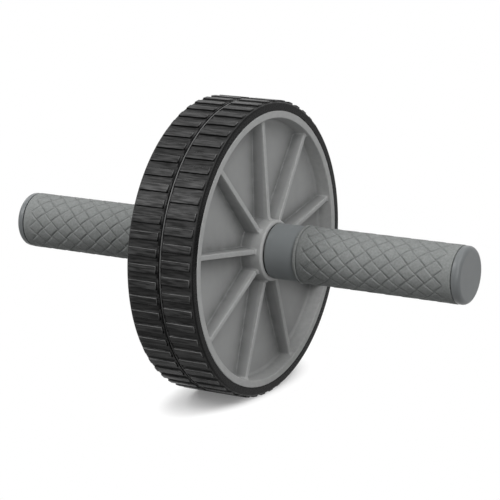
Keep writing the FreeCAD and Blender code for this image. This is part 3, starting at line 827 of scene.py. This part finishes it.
def grip_rubber():
    """Matte grey rubber: woven tiles with dipped ends, painted shade in the grooves, deepest where tile ends
    dip, a fine grain.
    """
    material, tree, shader, place = new_material("grip_rubber")
    along, _, turn = axle_places(tree, place)
    grooves, dips, strands = weave(tree, along, turn)
    cover = relief_cover(tree, along)
    sunk = plus(tree, times(tree, grooves, -0.4), times(tree, dips, -0.8))
    woven = plus(tree, sunk, times(tree, strands, 0.09))
    grain = noise(tree, place, 0.6, 3.0)
    height = plus(tree, times(tree, woven, cover), times(tree, grain, 0.25))
    mottle = remap(tree, noise(tree, place, 1.3, 4.0), 0.3, 0.7, 0.0, 1.0)
    colour = mix_colours(tree, mottle, (0.195, 0.204, 0.200), (0.244, 0.254, 0.250))
    # Painted shade: grooves darkened, most where the tile ends dip
    painted_groove_shade = times(tree, remap(tree, grooves, 0.6, 0.95, 0.0, 0.26), cover)
    painted_groove_shade = times(tree, painted_groove_shade, remap(tree, dips, 0.2, 0.8, 0.3, 1.0))
    colour = mix_colours(tree, painted_groove_shade, colour, (0.06, 0.063, 0.062))
    roughness = remap(tree, noise(tree, place, 4.0), 0.3, 0.7, 0.56, 0.72)
    finish_shader(tree, shader, colour, roughness, bump(tree, height, 0.36))
    shader.inputs["Specular IOR Level"].default_value = 0.15
    return material


# Other materials

def smooth_plastic(name, dark, light, low, high, gloss):
    """Satin plastic between two shades and two roughnesses, with a fine grain and faint handling marks."""
    material, tree, shader, place = new_material(name)
    colour = mix_colours(tree, noise(tree, place, 14.0), dark, light)
    marks = noise(tree, place, 2.5, 4.0, stretch=(1.0, 0.25, 0.25))
    roughness = remap(tree, marks, 0.3, 0.7, low, high)
    grain = noise(tree, place, 0.4, 2.0)
    finish_shader(tree, shader, colour, roughness, bump(tree, grain, 0.012, 0.4))
    shader.inputs["Specular IOR Level"].default_value = gloss
    return material


def nylon():
    """Natural nylon: warm off-white, semi-matte, with faint turning marks."""
    material, tree, shader, place = new_material("nylon")
    _, radius, _ = axle_places(tree, place)
    marks = math_node(tree, "SINE", times(tree, radius, FULL_TURN * 4))
    colour = mix_colours(tree, noise(tree, place, 4.0), (0.70, 0.68, 0.62), (0.78, 0.76, 0.71))
    roughness = remap(tree, noise(tree, place, 2.0), 0.3, 0.7, 0.4, 0.55)
    finish_shader(tree, shader, colour, roughness, bump(tree, marks, 0.01, 0.3))
    return material


def steel():
    """Zinc-plated steel: drawn along the axle, with a faint cloudy tarnish."""
    material, tree, shader, place = new_material("steel")
    drawn = noise(tree, place, 0.4, 3.0, stretch=(0.04, 1.0, 1.0))
    colour = mix_colours(tree, noise(tree, place, 6.0), (0.50, 0.51, 0.52), (0.62, 0.63, 0.64))
    roughness = remap(tree, drawn, 0.3, 0.7, 0.24, 0.42)
    finish_shader(tree, shader, colour, roughness, bump(tree, drawn, 0.01, 0.4))
    shader.inputs["Metallic"].default_value = 1.0
    return material


def make_materials():
    """One material for each slot of the record."""
    return {
        "wheel_plastic": wheel_plastic(),
        "tyre_rubber": tyre_rubber(),
        "collar_plastic": smooth_plastic(
            "collar_plastic", (0.212, 0.227, 0.232), (0.235, 0.250, 0.255), 0.44, 0.56, 0.14),
        "grip_rubber": grip_rubber(),
        "cap_plastic": smooth_plastic(
            "cap_plastic", (0.146, 0.156, 0.159), (0.161, 0.171, 0.174), 0.30, 0.36, 0.28),
        "nylon": nylon(),
        "steel": steel(),
    }


def dress(objects, material):
    """Gives objects one material."""
    for thing in objects:
        thing.data.materials.clear()
        thing.data.materials.append(material)


# Stage, light and camera

def seen_rays(tree):
    """1 for rays from the camera, off a glossy surface or through a clear one, else 0."""
    path = add_node(tree, "ShaderNodeLightPath")
    glossy = math_node(tree, "MAXIMUM", path.outputs["Is Glossy Ray"], path.outputs["Is Transmission Ray"])
    return math_node(tree, "MAXIMUM", path.outputs["Is Camera Ray"], glossy)


def make_world():
    """Even sky that lights softly and is seen as white."""
    world = bpy.data.worlds.new("studio")
    bpy.context.scene.world = world
    world.use_nodes = True
    tree = world.node_tree
    sky = tree.nodes["Background"]
    sky.inputs["Color"].default_value = (1, 1, 1, 1)
    tree.links.new(remap(tree, seen_rays(tree), 0.0, 1.0, SKY_STRENGTH, 1.0), sky.inputs["Strength"])


def floor_material():
    """Pale floor seen as white: lit and shadowed under the wheels, plain white farther out.
    What it throws back on the object is a soft grey."""
    material, tree, shader, place = new_material("floor")
    seen = seen_rays(tree)
    oval = {
        "Vector": place,
        "Scale": (1 / SHADOW_HALF_WIDTH, 1 / SHADOW_HALF_LENGTH, 1.0),
        "Location": (-SHADOW_MIDDLE / SHADOW_HALF_WIDTH, 0.0, 0.0),
    }
    around = add_node(tree, "ShaderNodeMapping", oval).outputs[0]
    reach_out = add_node(tree, "ShaderNodeVectorMath", {0: around}, operation="LENGTH").outputs["Value"]
    beyond = remap(tree, reach_out, 0.25, 0.75, 0.0, 1.0)
    pale = mix_colours(tree, noise(tree, place, 300.0), grey(0.93), grey(0.95))
    lit = mix_colours(tree, beyond, pale, grey(0.0))
    tree.links.new(mix_colours(tree, seen, grey(FLOOR_BOUNCE), lit), shader.inputs["Base Color"])
    glow = times(tree, seen, remap(tree, beyond, 0.0, 1.0, FLOOR_LIFT, 1.0))
    tree.links.new(glow, shader.inputs["Emission Strength"])
    shader.inputs["Emission Color"].default_value = (1, 1, 1, 1)
    shader.inputs["Roughness"].default_value = 0.9
    shader.inputs["Specular IOR Level"].default_value = 0.0
    return material


def make_floor():
    """Wide flat floor under the object."""
    mesh = bpy.data.meshes.new("floor")
    ways = ((-1, -1), (1, -1), (1, 1), (-1, 1))
    corners = [(FLOOR_HALF_WIDTH * across, FLOOR_HALF_WIDTH * away, 0) for across, away in ways]
    mesh.from_pydata(corners, [], [(0, 1, 2, 3)])
    floor = bpy.data.objects.new("floor", mesh)
    bpy.context.scene.collection.objects.link(floor)
    mesh.materials.append(floor_material())


def make_light(name, place, width, height, power):
    """Soft rectangular lamp at a place, turned to the middle of the axle."""
    data = bpy.data.lights.new(name, "AREA")
    data.shape = "RECTANGLE"
    data.size = width
    data.size_y = height
    data.energy = power
    lamp = bpy.data.objects.new(name, data)
    lamp.location = place
    aim = Vector((0, 0, AXLE_HEIGHT * MM)) - Vector(place)
    lamp.rotation_euler = aim.to_track_quat("-Z", "Y").to_euler()
    bpy.context.scene.collection.objects.link(lamp)


def camera_axes():
    """Right, upward and backward directions of the camera."""
    flat = math.cos(CAMERA_ELEVATION)
    sine = math.sin(CAMERA_AZIMUTH)
    cosine = math.cos(CAMERA_AZIMUTH)
    back = Vector((sine * flat, -cosine * flat, math.sin(CAMERA_ELEVATION)))
    level_right = Vector((cosine, sine, 0))
    level_up = back.cross(level_right)
    right = math.cos(CAMERA_ROLL) * level_right + math.sin(CAMERA_ROLL) * level_up
    up = math.cos(CAMERA_ROLL) * level_up - math.sin(CAMERA_ROLL) * level_right
    return right, up, back


def make_camera():
    """Camera at the photograph's viewing angle, with the wheels at their place in the picture."""
    right, up, back = camera_axes()
    metres_per_pixel = CAMERA_DISTANCE / FOCAL_PIXELS
    across = (CENTRE_ACROSS - PICTURE_SIZE / 2) * metres_per_pixel
    upward = (PICTURE_SIZE / 2 - CENTRE_DOWN) * metres_per_pixel
    data = bpy.data.cameras.new("camera")
    data.sensor_width = SENSOR_WIDTH
    data.lens = SENSOR_WIDTH * FOCAL_PIXELS / PICTURE_SIZE
    camera = bpy.data.objects.new("camera", data)
    pose = Matrix((right, up, back)).transposed().to_4x4()
    axle_middle = Vector((0, 0, AXLE_HEIGHT * MM))
    pose.translation = axle_middle + CAMERA_DISTANCE * back - across * right - upward * up
    camera.matrix_world = pose
    bpy.context.scene.collection.objects.link(camera)
    bpy.context.scene.camera = camera


def make_studio():
    """White studio: an even sky, a pale floor and soft lamps from overhead, both sides and the front left."""
    make_world()
    make_floor()
    for lamp in LAMPS:
        make_light(*lamp)


# Assembly

def make_object():
    """Dresses the frame: new skins for wheels, tyres and grips, and materials for every piece."""
    materials = make_materials()
    skins = {"wheel_plastic": make_wheel, "tyre_rubber": make_tyre, "grip_rubber": make_grip}
    for slot, make in skins.items():
        dress([make(side) for side in SIDES], materials[slot])
    for part in frame["record"]["subparts"]:
        dress([frame["nodes"][part["node"]]], materials[part["material_slot"]])


make_object()
make_studio()
make_camera()
bpy.context.scene.view_settings.view_transform = "Standard"
